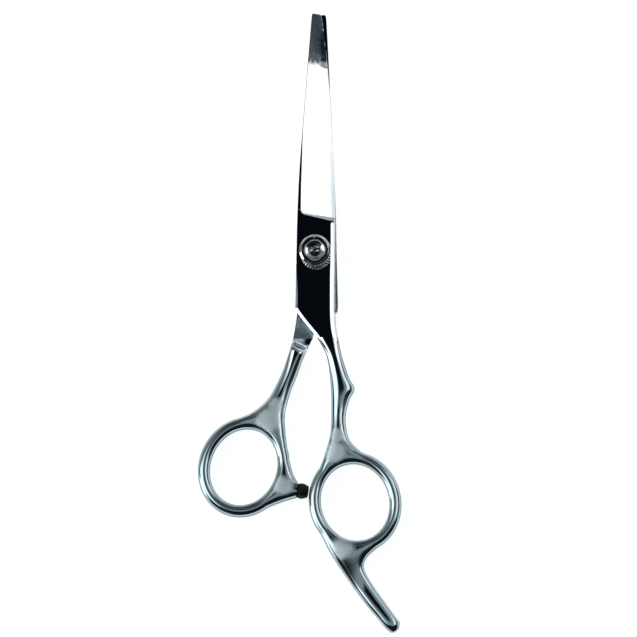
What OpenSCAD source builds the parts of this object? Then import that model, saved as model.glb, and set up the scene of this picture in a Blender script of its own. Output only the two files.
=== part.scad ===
// Hair cutting shears with a knurled tension dial, offset handles and a finger rest.
// Lying flat and closed: +Y to the tips, +X to the finger ring, +Z up through the dial.
// The origin is on the pivot axis, in the plane the shears rest on. Millimetres.

/* [Blades] */
// Height of the parting plane between the two halves above the rest plane
parting_height = 2.5; // [2:0.1:3.5]
// Gap between the flat inner faces of the two blades
blade_gap = 0.1; // [0.04:0.02:0.2]
// Tilt of the ground outer face, from the back of the blade down to the edge
grind_angle = 9.5; // [6:0.5:12]
// Width of the bevel along the edges of the flat round the pivot
bevel_width = 0.8; // [0.4:0.1:1.2]
// Length of the blades beyond the pivot
blade_reach = 68.4; // [60:0.2:75]

/* [Rings] */
// Half the length of each ring's hole
ring_half_length = 10.8; // [9:0.1:13]
// Half the width of the finger ring's hole
finger_half_width = 9.42; // [8:0.01:12]
// Half the width of the thumb ring's hole
thumb_half_width = 9.18; // [8:0.01:12]
// Width of the ring bands
band_width = 3.4; // [2.5:0.05:4.5]
// Half the thickness of the handles
handle_half_height = 2.5; // [2:0.1:3]

/* [Pivot] */
// Diameter of the pivot screw's shank
shank_diameter = 4; // [3:0.1:5]
// Diameter of the pivot screw's threaded end
thread_diameter = 3.5; // [2.5:0.1:4]
// Diameter of the pivot screw's rear head
rear_head_diameter = 7; // [6:0.1:8]
// Radial clearance where one piece turns on another
running_fit = 0.05; // [0.02:0.01:0.1]
// Diameter of the tension dial
dial_diameter = 8.8; // [8:0.1:10]
// Height of the tension dial
dial_height = 2.8; // [2:0.1:3.5]
// Grooves round the tension dial
dial_grooves = 36; // [24:1:60]

/* [Bumper] */
// Diameter of the rubber bumper at its widest
bumper_diameter = 4.3; // [3:0.1:5]
// Length of the rubber bumper
bumper_length = 3.1; // [2.5:0.05:4]
// Angle of the bumper's axis below +X
bumper_lean = 8; // [0:1:20]

/* [Hidden] */
$fn = 64;
steel = [0.74, 0.76, 0.78];
bright = [0.86, 0.87, 0.88];
satin = [0.62, 0.66, 0.68];
brass_tone = [0.76, 0.62, 0.36];
plastic_tone = [0.93, 0.92, 0.88];
rubber_tone = [0.08, 0.08, 0.09];

// Heights in the stack, from the rest plane up
lower_face = parting_height - blade_gap / 2;
upper_face = parting_height + blade_gap / 2;
top_face = 2 * parting_height;
seam_y = -24;

// Pivot stack
rear_head_sunk = 0.05;
rear_head_top = 1;
key_flats = 3.2;
bushing_diameter = 6;
washer_diameter = 9;
washer_recess = 0.35;
thrust_top = top_face + 0.35;
spring_bottom = thrust_top + 0.04;
spring_top = spring_bottom + 0.5;
plate_bottom = spring_top + 0.02;
plate_top = plate_bottom + 0.3;
dial_bottom = plate_top + 0.04;
dial_top = dial_bottom + dial_height;
screw_end = dial_bottom + 1.3;
cap_head_radius = 1.75;
pin_radius = 0.42;
pin_circle = 3.7;
pin_foot = dial_bottom + 0.2;
pin_top = dial_top + 0.05;

// The rings: centre, half length, half width, lean of the long axis towards -X
finger_ring = [[10.86, -70.05], ring_half_length, finger_half_width, 15];
thumb_ring = [[-20.1, -60], ring_half_length, thumb_half_width, -19.7];
// Where each shank and tail meets its ring: angles of its first and last side
finger_shank_joint = [122, 62];
finger_tail_joint = [207, 282];
thumb_shank_joint = [117, 41];
thumb_tail_joint = [386, 322];

// The bumper's seat on the end of the lobe
seat = [-5.2, -66.6];
seat_half = 2.05;

// ---- Outlines ----

// A smooth curve through points, at span i and fraction f of that span
function through(p, i, f) =
    let (a = p[max(i - 1, 0)], b = p[i], c = p[i + 1], d = p[min(i + 2, len(p) - 1)])
    ((2 * b) + (c - a) * f + (2 * a - 5 * b + 4 * c - d) * f * f
        + (3 * b - a - 3 * c + d) * f * f * f) / 2;
// The same curve at a fraction of its whole length; the last point only steers it
function along(p, f) =
    let (spans = len(p) - 2, s = f * spans, i = min(floor(s), spans - 1))
    through(p, i, s - i);
function smooth(p, steps) =
    [for (i = [0 : len(p) - 2]) for (k = [0 : steps - 1]) through(p, i, k / steps), p[len(p) - 1]];

function turned(v, angle) =
    [v.x * cos(angle) - v.y * sin(angle), v.x * sin(angle) + v.y * cos(angle)];
// A point on a ring, out from the edge of its hole
function on_ring(ring, t, out) =
    let (a = ring[1], b = ring[2], n = [a * cos(t), b * sin(t)])
    ring[0] + turned([b * cos(t), a * sin(t)] + out * n / norm(n), ring[3]);
function rim(ring, t) = on_ring(ring, t, band_width);

// Each edge of a shank or tail ends on its ring's rim, where the last point steers it
finger_shank_left = concat(
    [[0.45, seam_y], [3, -29.2], [4.1, -37], [4.3, -44.4], [4.0, -50.5], [2.7, -55.6]],
    [rim(finger_ring, 122), rim(finger_ring, 145)]);
finger_shank_right = concat(
    [[6.2, seam_y], [7.3, -29.2], [9.2, -35], [10.75, -38.3], [9.3, -41.4], [8.25, -46.4], [9.1, -52]],
    [[11.7, -55.2], rim(finger_ring, 62), rim(finger_ring, 45)]);
finger_tail_left = concat(
    [[17.6, -103.2], [13.8, -98.6], [8.9, -91.8], [4.4, -85]],
    [rim(finger_ring, 207), rim(finger_ring, 185)]);
finger_tail_right = concat(
    [[23.2, -103.6], [19.2, -98.1], [15.2, -92.3], [13.3, -88.2], [14.3, -85.3]],
    [rim(finger_ring, 282), rim(finger_ring, 300)]);
finger_tail_end = [[17.6, -103.2], [19.3, -105.3], [21.2, -106.6], [22.9, -105.6], [23.2, -103.6]];

thumb_shank_left = concat(
    [[-6.4, seam_y], [-8.5, -30.9], [-10.6, -36], [-13.5, -41], [-17.6, -44.5]],
    [rim(thumb_ring, 117), rim(thumb_ring, 135)]);
thumb_shank_right = concat(
    [[-1, seam_y], [-3.3, -29.2], [-5.2, -34.3], [-7.3, -39.8], [-8.6, -45.2], [-8.5, -50]],
    [rim(thumb_ring, 41), rim(thumb_ring, 25)]);
thumb_tail_left = concat(
    [seat + turned([0, seat_half], -bumper_lean), [-6.25, -62.1]],
    [rim(thumb_ring, 386), rim(thumb_ring, 402)]);
thumb_tail_right = concat(
    [seat - turned([0, seat_half], -bumper_lean), [-9.4, -69.8]],
    [rim(thumb_ring, 322), rim(thumb_ring, 305)]);

finger_edge = [[6.2, seam_y], [5.75, -21.5], [5.45, -17], [5.45, -4], [5.45, 9.7], [5.3, 18],
    [4.8, 29], [4.1, 43.6], [3.15, 54], [2.2, 62.5], [1.45, 67.8]];
finger_back = [[-1, blade_reach - 0.5], [-1.2, 66.1], [-1.75, 59.4], [-3.15, 41.3], [-4.5, 23.3],
    [-5.1, 9.7], [-5.3, 0.7], [-5.65, -14.5]];
finger_outline = concat(
    smooth(finger_edge, 4), [[0.9, blade_reach], [-0.5, blade_reach]], smooth(finger_back, 4),
    smooth([[-5.55, -15.9], [-4.9, -17.2], [-3, -19.8], [0.45, seam_y]], 3));

thumb_back = [[6.1, -14.6], [5.95, -8.3], [5.72, 0.7], [5.55, 9.7], [5.3, 18], [4.75, 29],
    [4.05, 43.6], [3.5, 55], [2.9, 66.1]];
thumb_edge = [[0.6, blade_reach - 0.6], [-0.5, 64], [-2.1, 48], [-3.4, 32], [-4.3, 18], [-4.7, 9.7],
    [-4.9, 4], [-5.05, -8], [-5.3, -17], [-6.4, seam_y]];
thumb_outline = concat(
    smooth(thumb_back, 4), [[2.6, blade_reach - 0.8], [1.9, blade_reach - 0.45]],
    smooth(thumb_edge, 4),
    smooth([[-1, seam_y], [-0.2, -21.6], [3.2, -18.6], [5.4, -16.9], [5.95, -16.3]], 3));

// ---- Handles ----

// Columns across a band or shank: closer together where its edges are rounded
rounding_steps = [for (a = [0 : 22.5 : 90]) 1 - cos(a)];
last_column = 14;
function columns(width, radius) =
    let (q = min(radius, 0.46 * width) / width)
    concat([for (s = rounding_steps) q * s], [for (k = [1 : 5]) q + (1 - 2 * q) * k / 6],
        [for (i = [4 : -1 : 0]) 1 - q * rounding_steps[i]]);

// Distance from a point to a line of points
function to_segment(p, a, b) =
    let (ab = b - a, f = max(0, min(1, ((p - a) * ab) / (ab * ab))))
    norm(p - a - f * ab);
function to_line(p, line) = min([for (i = [0 : len(line) - 2]) to_segment(p, line[i], line[i + 1])]);

function blend(f) = let (g = max(0, min(1, f))) g * g * (3 - 2 * g);

// Rounding radius of the edges, going down the handle: widest on the shanks, and within half
// the width of the band round the rings
shank_rounding = 2.05;
ring_rounding = band_width / 2;
function edge_radius(y) = bevel_width + (shank_rounding - bevel_width) * blend((seam_y - y) / 11)
    - (shank_rounding - ring_rounding) * blend((-44 - y) / 8);
// Height of the surface at a distance in from the edge: a bevel on a wall at the seam, round below
function crown(d, y) =
    let (r = edge_radius(y), g = max(0, 1 - d / r), k = blend((seam_y - y) / 8))
    d < 0.001 ? 0 : k * sqrt(1 - g * g) + (1 - k) * (1 - 0.25 * g);

// A handle is a ring with a shank and a tail growing out of its rim. Its surface is laid out
// in plan as three grids and raised above and below the parting plane.
//   up: 1 where the half-thick start of the shank is above the parting plane, -1 below it
//   rounded: true where the tail ends in a rounded tip instead of a flat seat
module handle(ring, shank, shank_joint, tail, tail_joint, tail_end, up, rounded, tip_height) {
    shank_rows = 18;
    tail_rows = rounded ? 13 : 5;
    // Width of the joints with the ring, along its rim
    shank_foot = 17;
    tail_foot = 13;
    // Across the band the two roundings all but meet in the middle
    ring_columns = concat([for (s = rounding_steps) s / 2.02],
        [for (i = [4 : -1 : 0]) 1 - rounding_steps[i] / 2.02]);
    shank_arc = [for (u = columns(shank_foot, shank_rounding))
        shank_joint[0] + (shank_joint[1] - shank_joint[0]) * u];
    tail_arc = [for (u = columns(tail_foot, shank_rounding))
        tail_joint[0] + (tail_joint[1] - tail_joint[0]) * u];

    // Angles round the ring, from the shank's last side through the tail and back
    function span(a, b, n) = [for (k = [1 : n - 1]) a + (b - a) * k / n];
    shank_up = shank_joint[0] > shank_joint[1] ? [for (i = [last_column : -1 : 0]) shank_arc[i]] : shank_arc;
    tail_up = tail_joint[0] > tail_joint[1] ? [for (i = [last_column : -1 : 0]) tail_arc[i]] : tail_arc;
    free_a = ceil((tail_up[0] - shank_up[last_column]) / 6.5);
    free_b = ceil((shank_up[0] + 360 - tail_up[last_column]) / 6.5);
    angles = concat(shank_up, span(shank_up[last_column], tail_up[0], free_a),
        tail_up, span(tail_up[last_column], shank_up[0] + 360, free_b));
    around = len(angles);
    tail_first = last_column + free_a;

    // The free outline, as lines of points
    shank_sides = [for (side = shank) [for (k = [0 : 40]) along(side, k / 40)]];
    tail_sides = [for (side = tail) [for (k = [0 : 24]) along(side, k / 24)]];
    arc_a = [for (k = [0 : free_a * 2])
        rim(ring, shank_up[last_column] + (tail_up[0] - shank_up[last_column]) * k / free_a / 2)];
    arc_b = [for (k = [0 : free_b * 2])
        rim(ring, tail_up[last_column] + (shank_up[0] + 360 - tail_up[last_column]) * k / free_b / 2)];
    outline = concat(shank_sides, tail_sides, [arc_a, arc_b], rounded ? [smooth(tail_end, 4)] : []);
    function inset(p) = min([for (line = outline) to_line(p, line)]);

    // Plan positions, each with its distance in from the edge
    ring_plan = [for (t = angles) for (s = ring_columns)
        let (p = on_ring(ring, t, s * band_width)) [p.x, p.y, min(s * band_width, inset(p))]];
    function patch(sides, joint, u, f, bulge) =
        let (a = along(sides[0], f), b = along(sides[1], f),
            a1 = rim(ring, joint[0]), b1 = rim(ring, joint[1]),
            r = rim(ring, joint[0] + (joint[1] - joint[0]) * u))
        a + (b - a) * u + pow(f, bulge) * (r - a1 - (b1 - a1) * u);
    // Near the ring the columns close up to match those along its rim
    function row_columns(sides, f, foot) =
        let (w = norm(along(sides[1], f) - along(sides[0], f)), late = blend((f - 0.8) / 0.2),
            own = columns(w, edge_radius(along(sides[0], f).y)), end = columns(foot, shank_rounding))
        own * (1 - late) + end * late;
    shank_plan = [for (i = [0 : shank_rows - 1]) let (f = i / shank_rows)
        for (u = row_columns(shank, f, shank_foot))
        let (p = patch(shank, shank_joint, u, f, 3)) [p.x, p.y, (u == 0 || u == 1) ? 0 : inset(p)]];
    tail_plan = [for (i = [0 : tail_rows - 1]) let (f = i / tail_rows)
        for (u = row_columns(tail, f, tail_foot))
        let (p0 = patch(tail, tail_joint, u, f, 2),
            a0 = tail_end[0], b0 = tail_end[len(tail_end) - 1],
            cap = rounded ? pow(1 - f, 5) * (along_end(tail_end, u) - a0 - (b0 - a0) * u) : [0, 0],
            p = p0 + cap)
        [p.x, p.y, (u == 0 || u == 1 || (rounded && i == 0)) ? 0 : inset(p)]];
    function along_end(p, u) = let (s = u * (len(p) - 1), i = min(floor(s), len(p) - 2)) through(p, i, s - i);

    // Heights: thinner on the inner side where the shank leaves the flat, and along the tail
    plan = concat(ring_plan, shank_plan, tail_plan);
    ring_count = around * 10;
    shank_count = shank_rows * (last_column + 1);
    total = len(plan);
    ring_low = ring[0].y - ring[1];
    function height(p, side) =
        let (start = side * up > 0 ? 1 : blend((seam_y - p.y) / 2.4),
            tail_part = rounded ? blend((ring_low - p.y) / 14) : 0,
            full = handle_half_height * (1 - tail_part) + tip_height * tail_part)
        start * full * crown(p[2], p.y);
    function base(p) = parting_height + up * blade_gap / 2 * (1 - blend((seam_y - p.y) / 2.4));
    points = concat(
        [for (p = plan) [p.x, p.y, base(p) + height(p, 1) * (top_face - base(p)) / handle_half_height]],
        [for (p = plan) [p.x, p.y, base(p) - height(p, -1) * base(p) / handle_half_height]]);

    // Numbers of the points: side 0 is the upper surface, side 1 the lower, and edges are shared
    function ring_free(i, j) =
        let (k = i % around)
        j == 0 || (j == 9 && !((k > 0 && k < last_column)
            || (k > tail_first && k < tail_first + last_column)));
    function ring_at(s, i, j) = (ring_free(i, j) ? 0 : s * total) + (i % around) * 10 + j;
    function from_shank(k) = shank_joint[0] > shank_joint[1] ? last_column - k : k;
    function from_tail(k) = tail_first + (tail_joint[0] > tail_joint[1] ? last_column - k : k);
    function shank_at(s, i, k) = i == shank_rows ? ring_at(s, from_shank(k), 9)
        : ((k == 0 || k == last_column) ? 0 : s * total) + ring_count + i * (last_column + 1) + k;
    function tail_at(s, i, k) = i == tail_rows ? ring_at(s, from_tail(k), 9)
        : ((k == 0 || k == last_column || (rounded && i == 0)) ? 0 : s * total)
            + ring_count + shank_count + i * (last_column + 1) + k;

    // Faces, as triangles, turned to face outwards; the cut runs the other way past the middle
    function triangles(a, b, c, d, other) = other ? [[b, c, d], [b, d, a]] : [[a, b, c], [a, c, d]];
    function quad(a, b, c, d, flip, other) =
        [for (t = triangles(a, b, c, d, other)) flip ? [t[0], t[2], t[1]] : t];
    function clean(faces) = [for (f = faces) if (f[0] != f[1] && f[1] != f[2] && f[0] != f[2]) f];
    tail_flip = tail_joint[0] > tail_joint[1];
    ring_faces = [for (s = [0, 1]) for (i = [0 : around - 1]) for (j = [0 : 8])
        each quad(ring_at(s, i, j), ring_at(s, i + 1, j), ring_at(s, i + 1, j + 1),
            ring_at(s, i, j + 1), s == 1, false)];
    shank_faces = [for (s = [0, 1]) for (i = [0 : shank_rows - 1]) for (k = [0 : last_column - 1])
        each quad(shank_at(s, i, k), shank_at(s, i, k + 1), shank_at(s, i + 1, k + 1),
            shank_at(s, i + 1, k), s == 1, k >= last_column / 2)];
    tail_faces = [for (s = [0, 1]) for (i = [0 : tail_rows - 1]) for (k = [0 : last_column - 1])
        each quad(tail_at(s, i, k), tail_at(s, i, k + 1), tail_at(s, i + 1, k + 1),
            tail_at(s, i + 1, k), (s == 1) != !tail_flip, k >= last_column / 2)];
    // The flat ends: the seam with the blade, and the seat where the tail isn't rounded
    seam_faces = [for (k = [0 : last_column - 1])
        each quad(shank_at(0, 0, k), shank_at(1, 0, k), shank_at(1, 0, k + 1), shank_at(0, 0, k + 1),
            false, false)];
    seat_faces = rounded ? [] : [for (k = [0 : last_column - 1])
        each quad(tail_at(0, 0, k), tail_at(1, 0, k), tail_at(1, 0, k + 1), tail_at(0, 0, k + 1),
            !tail_flip, false)];
    polyhedron(points, clean(concat(ring_faces, shank_faces, tail_faces, seam_faces, seat_faces)));
}

module finger_handle() color(satin)
    handle(finger_ring, [finger_shank_left, finger_shank_right], finger_shank_joint,
        [finger_tail_left, finger_tail_right], finger_tail_joint, finger_tail_end, 1, true, 1.7);

module thumb_handle() color(satin)
    difference() {
        handle(thumb_ring, [thumb_shank_left, thumb_shank_right], thumb_shank_joint,
            [thumb_tail_left, thumb_tail_right], thumb_tail_joint, [seat, seat], -1, false, 0);
        bumper_place() cylinder(h = 2 * stud_depth, d = stud_diameter, center = true);
    }

// ---- Blades ----

// The space above the ground face, beyond a sloping shoulder line
module grind(edge_x, edge_height, shoulder_y, shoulder_turn) {
    intersection() {
        translate([edge_x, shoulder_y, edge_height])
            rotate([0, 0, 4])
            rotate([0, grind_angle, 0])
            translate([-40, -30, 0])
            cube([70, 110, 20]);
        translate([0, shoulder_y, edge_height])
            rotate([0, 0, shoulder_turn])
            rotate([-35, 0, 0])
            translate([-40, 0, -20])
            cube([80, 90, 60]);
    }
}

// A straight bevel along an upper edge from one point to another, cutting on its left
module bevel(from, to, top, width) {
    angle = atan2(to.y - from.y, to.x - from.x);
    translate([from.x, from.y, top])
        rotate([0, 0, angle])
        translate([0, width, 0])
        rotate([36, 0, 0])
        translate([0, -10, 0])
        cube([norm(to - from), 20, 5]);
}

module pivot_hole(diameter, bottom, top) {
    translate([0, 0, bottom])
        cylinder(h = top - bottom, d = diameter);
}

// A round bar with two flats
module keyed_bar(diameter, flats, bottom, top) {
    intersection() {
        pivot_hole(diameter, bottom, top);
        translate([0, 0, (bottom + top) / 2])
            cube([flats, diameter + 2, top - bottom + 2], center = true);
    }
}

module finger_blade() color(steel)
    difference() {
        translate([0, 0, upper_face])
            linear_extrude(height = top_face - upper_face)
            polygon(finger_outline);
        grind(5.45, upper_face + 0.42, 9.9, -8.9);
        // Bevel along the back of the blade, in two lengths
        bevel([-0.7, 72], [-3.2, 40], top_face - 1.02, 0.55);
        bevel([-3.05, 42], [-5.06, 11.6], top_face - 0.62, 0.75);
        // Bevels along the flat round the pivot
        bevel([5.45, -18], [5.45, 9], top_face, bevel_width);
        bevel([6.35, -25], [5.45, -17.5], top_face, bevel_width);
        bevel([-5.35, -8.5], [-5.62, -15.6], top_face, bevel_width);
        bevel([-5.25, -16.8], [1.2, -24.95], top_face, bevel_width);
        pivot_hole(bushing_diameter, upper_face - 1, top_face + 1);
        pivot_hole(washer_diameter + 0.1, upper_face - 1, upper_face + washer_recess);
        inner_hollow(upper_face, 1);
    }

// The shallow hollow ground along a blade's inner face
module inner_hollow(face, side) {
    hollow_radius = 60;
    hollow_depth = 0.07;
    translate([0.3 * side, 14, face + side * (hollow_depth - hollow_radius)])
        rotate([-90, 0, 3 * side])
        cylinder(h = 80, r = hollow_radius, $fn = 180);
}

module thumb_blade() color(steel)
    difference() {
        linear_extrude(height = lower_face)
            polygon(thumb_outline);
        // The same grind, seen from below
        rotate([0, 180, 0])
            grind(4.75, 0.42 - lower_face, 9.9, -8.9);
        inner_hollow(lower_face, -1);
        pivot_hole(rear_head_diameter + 0.1, -1, rear_head_top);
        keyed_bar(shank_diameter + 0.04, key_flats + 0.04, -1, lower_face + 1);
    }

// ---- Pivot and tension stack ----

module ring_washer(outer, inner, bottom, top) {
    difference() {
        pivot_hole(outer, bottom, top);
        pivot_hole(inner, bottom - 1, top + 1);
    }
}

module pivot_bushing() color(brass_tone)
    ring_washer(bushing_diameter, shank_diameter + 2 * running_fit, upper_face + washer_recess, top_face);

module blade_washer() color(plastic_tone)
    ring_washer(washer_diameter, shank_diameter + 0.3, lower_face + 0.03, upper_face + washer_recess);

module thrust_washer() color(plastic_tone)
    ring_washer(8.2, shank_diameter + 0.3, top_face, thrust_top);

module spring_washer() color(steel)
    rotate_extrude()
    polygon([[2.1, spring_bottom + 0.25], [4, spring_bottom], [4, spring_bottom + 0.25], [2.1, spring_top]]);

module click_plate() color(bright)
    difference() {
        union() {
            pivot_hole(8.2, plate_bottom, plate_top - 0.05);
            // Ridges for the click pin to ride over
            for (a = [0 : 30 : 359])
                rotate([0, 0, a + 15])
                translate([pin_circle, 0, plate_top - 0.1])
                cylinder(h = 0.1, d = 0.7, $fn = 24);
        }
        keyed_bar(shank_diameter + 0.06, key_flats + 0.06, plate_bottom - 1, plate_top + 1);
    }

module pivot_screw() color(bright)
    difference() {
        union() {
            pivot_hole(rear_head_diameter, rear_head_sunk, rear_head_top);
            keyed_bar(shank_diameter, key_flats, rear_head_top, lower_face);
            pivot_hole(shank_diameter, lower_face, top_face);
            keyed_bar(shank_diameter, key_flats, top_face, plate_top);
            pivot_hole(thread_diameter, plate_top, screw_end);
        }
        // Driver slot across the rear head
        cube([5.6, 0.8, 1.2], center = true);
        // Tapped hole for the dial screw
        pivot_hole(cap_thread, screw_end - 2.5, screw_end + 1);
    }
cap_thread = 1.6;

module dial_screw() color(bright)
    difference() {
        union() {
            pivot_hole(cap_thread, screw_end - 2.4, screw_end);
            // Domed head
            intersection() {
                pivot_hole(2 * cap_head_radius, screw_end, screw_end + 0.9);
                translate([0, 0, screw_end - 1.6])
                    sphere(r = 2.5);
            }
        }
        translate([0, 0, screw_end + 1.05])
            rotate([0, 0, 25])
            cube([5, 0.55, 0.9], center = true);
    }

module tension_dial() color(bright)
    difference() {
        intersection() {
            translate([0, 0, dial_bottom])
                linear_extrude(height = dial_height)
                polygon([for (k = [0 : 2 * dial_grooves - 1])
                    let (r = dial_diameter / 2 - (k % 2) * 0.22)
                    [r * cos(180 * k / dial_grooves), r * sin(180 * k / dial_grooves)]]);
            rotate_extrude()
                polygon([[0, dial_bottom], [dial_diameter / 2 - 0.25, dial_bottom],
                    [dial_diameter / 2 + 0.1, dial_bottom + 0.35], [dial_diameter / 2 + 0.1, dial_top - 0.45],
                    [dial_diameter / 2 - 0.45, dial_top], [0, dial_top]]);
        }
        pivot_hole(thread_diameter + 2 * running_fit, dial_bottom - 1, dial_top);
        // Dished face, and the cone round the screw in the middle
        rotate_extrude()
            polygon([[0, dial_top - 0.45], [2.7, dial_top - 0.35], [3.85, dial_top], [3.85, dial_top + 1],
                [0, dial_top + 1]]);
        rotate_extrude()
            polygon([[0, screw_end + 0.06], [cap_head_radius + 0.1, screw_end + 0.06],
                [2.7, dial_top - 0.3], [0, dial_top - 0.3]]);
        translate([0, pin_circle, dial_bottom - 1])
            cylinder(h = dial_height + 2, r = pin_radius, $fn = 32);
    }

module click_pin() color(brass_tone)
    translate([0, pin_circle, pin_foot])
    union() {
        cylinder(h = pin_top - pin_radius - pin_foot, r = pin_radius, $fn = 32);
        // Rounded top, standing a little proud of the dial's rim
        translate([0, 0, pin_top - pin_radius - pin_foot])
            intersection() {
                cylinder(h = pin_radius, r = pin_radius, $fn = 32);
                sphere(r = pin_radius, $fn = 32);
            }
    }

// ---- Bumper ----

stud_diameter = 1.5;
stud_depth = 2.6;
module bumper_place() {
    translate([seat.x, seat.y, parting_height])
        rotate([0, 0, -bumper_lean])
        rotate([0, 90, 0])
        children();
}

module bumper() color(rubber_tone)
    bumper_place()
    difference() {
        rotate_extrude()
            polygon(concat([[0, 0.05], [bumper_diameter / 2 - 0.35, 0.05]],
                [for (a = [-60 : 20 : 60])
                    [bumper_diameter / 2 - 0.3 + 0.3 * cos(a),
                        bumper_length / 2 + bumper_length / 2.6 * sin(a)]],
                [[bumper_diameter / 2 - 0.75, bumper_length], [0, bumper_length]]));
        cylinder(h = 2 * 2.2, d = stud_diameter, center = true);
    }

module bumper_stud() color(steel)
    bumper_place()
    translate([0, 0, -stud_depth + 0.1])
    cylinder(h = stud_depth - 0.1 + 2.2, d = stud_diameter);

// ---- Assembly ----

finger_blade();
finger_handle();
pivot_bushing();
blade_washer();
thrust_washer();
thumb_blade();
thumb_handle();
pivot_screw();
spring_washer();
click_plate();
dial_screw();
bumper();
bumper_stud();
tension_dial();
click_pin();
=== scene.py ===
import math

import bmesh
import bpy
import numpy as np
from mathutils import Matrix, Vector


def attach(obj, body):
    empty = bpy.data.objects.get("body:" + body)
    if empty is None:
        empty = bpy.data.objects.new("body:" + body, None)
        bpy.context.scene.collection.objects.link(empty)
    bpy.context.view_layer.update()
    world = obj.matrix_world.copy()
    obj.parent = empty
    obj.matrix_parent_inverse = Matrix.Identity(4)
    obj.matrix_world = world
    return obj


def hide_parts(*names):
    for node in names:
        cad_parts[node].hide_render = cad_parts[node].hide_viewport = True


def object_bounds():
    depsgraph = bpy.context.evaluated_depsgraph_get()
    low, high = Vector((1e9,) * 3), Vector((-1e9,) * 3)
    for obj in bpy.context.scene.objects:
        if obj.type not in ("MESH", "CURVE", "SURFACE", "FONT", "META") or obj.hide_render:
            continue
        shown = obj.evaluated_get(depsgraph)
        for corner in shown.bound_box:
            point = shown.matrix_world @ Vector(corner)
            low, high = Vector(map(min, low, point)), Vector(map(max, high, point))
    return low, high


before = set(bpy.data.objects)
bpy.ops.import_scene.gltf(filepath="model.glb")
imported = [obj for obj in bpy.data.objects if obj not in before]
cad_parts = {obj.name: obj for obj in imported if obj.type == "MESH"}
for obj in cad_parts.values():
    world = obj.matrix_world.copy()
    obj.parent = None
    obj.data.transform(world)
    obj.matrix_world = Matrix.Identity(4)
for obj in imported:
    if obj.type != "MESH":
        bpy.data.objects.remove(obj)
cad_low, cad_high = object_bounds()
MM = 0.001

# ---------------------------------------------------------------- dimensions, in millimetres
PARTING = 2.5
GAP = 0.1
LOWER_FACE = PARTING - GAP / 2
UPPER_FACE = PARTING + GAP / 2
TOP_FACE = 2 * PARTING
SEAM_Y = -24.0
BEVEL_SLOPE = math.tan(math.radians(9))
EDGE_SLOPE = math.tan(math.radians(30))
WALL_LEAN = 0.42
BAND_WIDTH = 3.38
SEAT = np.array([-5.2, -66.6])
SEAT_HALF = 2.05
BUMPER_LEAN = 8.0
SHANK_FOOT = 17  # about how wide a shank is where it meets its ring
TAIL_FOOT = 13  # and the same for a tail
FOOT_ROUNDING = 2.05
RING_ROUNDING = 1 / 2.04  # share of the band's width taken by each rounded side
STEP_LENGTH = 3.0  # the step from a blade's thickness to the full handle
STEP_SLANT = 0.5
STEP_LEFT = -6.4
TAPER_LENGTH = 14  # over which the finger rest thins below its ring

# Rings: centre, half length, half width, lean of the long axis towards -X
FINGER_RING = ((10.86, -70.05), 10.8, 9.42, 15.0)
THUMB_RING = ((-20.1, -60.0), 10.8, 9.18, -19.7)


# ---------------------------------------------------------------- outlines
def through(points, i, f):
    """A smooth curve through points, at span i and fraction f of that span."""
    a, b = points[max(i - 1, 0)], points[i]
    c, d = points[i + 1], points[min(i + 2, len(points) - 1)]
    return (2 * b + (c - a) * f + (2 * a - 5 * b + 4 * c - d) * f**2 + (3 * b - a - 3 * c + d) * f**3) / 2


def along(points, f):
    """The curve at a fraction of its length; the last point only steers it."""
    spans = len(points) - 2
    i = min(int(f * spans), spans - 1)
    return through(points, i, f * spans - i)


def whole(points, f):
    """The curve at a fraction of its length, to its last point."""
    spans = len(points) - 1
    i = min(int(f * spans), spans - 1)
    return through(points, i, f * spans - i)


def turned(v, degrees):
    """A plan vector turned counterclockwise."""
    c, s = math.cos(math.radians(degrees)), math.sin(math.radians(degrees))
    return np.array([v[0] * c - v[1] * s, v[0] * s + v[1] * c])


def on_ring(ring, degrees, out):
    """A point on a ring, out from the edge of its hole."""
    centre, a, b, lean = ring
    c, s = math.cos(math.radians(degrees)), math.sin(math.radians(degrees))
    normal = np.array([a * c, b * s]) / math.hypot(a * c, b * s)
    return np.array(centre) + turned(np.array([b * c, a * s]) + out * normal, lean)


def rim(ring, degrees):
    """A point on a ring's outer edge."""
    return on_ring(ring, degrees, BAND_WIDTH)


def edge_line(points, ring, joint, steer):
    """A shank's or tail's edge: its points, then where it joins the rim and a point to steer it."""
    return [np.array(p, float) for p in points] + [rim(ring, joint), rim(ring, steer)]


FINGER_SHANK = (
    edge_line(
        [(0.45, SEAM_Y), (3, -29.2), (4.1, -37), (4.3, -44.4), (4.0, -50.5), (2.7, -55.6)],
        FINGER_RING, 122, 145),
    edge_line(
        [(6.2, SEAM_Y), (7.3, -29.2), (9.2, -35), (10.75, -38.3), (9.3, -41.4), (8.25, -46.4),
         (9.1, -52), (11.7, -55.2)],
        FINGER_RING, 62, 45),
)
FINGER_TAIL = (
    edge_line([(17.6, -103.2), (13.8, -98.6), (8.9, -91.8), (4.4, -85)], FINGER_RING, 207, 185),
    edge_line(
        [(23.2, -103.6), (19.2, -98.1), (15.2, -92.3), (13.3, -88.2), (14.3, -85.3)],
        FINGER_RING, 282, 300),
)
FINGER_TIP = [np.array(p) for p in
              [(17.6, -103.2), (19.3, -105.3), (21.2, -106.6), (22.9, -105.6), (23.2, -103.6)]]
THUMB_SHANK = (
    edge_line([(-6.4, SEAM_Y), (-8.5, -30.9), (-10.6, -36), (-13.5, -41), (-17.6, -44.5)],
              THUMB_RING, 117, 135),
    edge_line([(-1, SEAM_Y), (-3.3, -29.2), (-5.2, -34.3), (-7.3, -39.8), (-8.6, -45.2), (-8.5, -50)],
              THUMB_RING, 41, 25),
)
THUMB_TAIL = (
    edge_line([SEAT + turned((0, SEAT_HALF), -BUMPER_LEAN), (-6.25, -62.1)], THUMB_RING, 386, 402),
    edge_line([SEAT - turned((0, SEAT_HALF), -BUMPER_LEAN), (-9.4, -69.8)], THUMB_RING, 322, 305),
)


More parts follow.
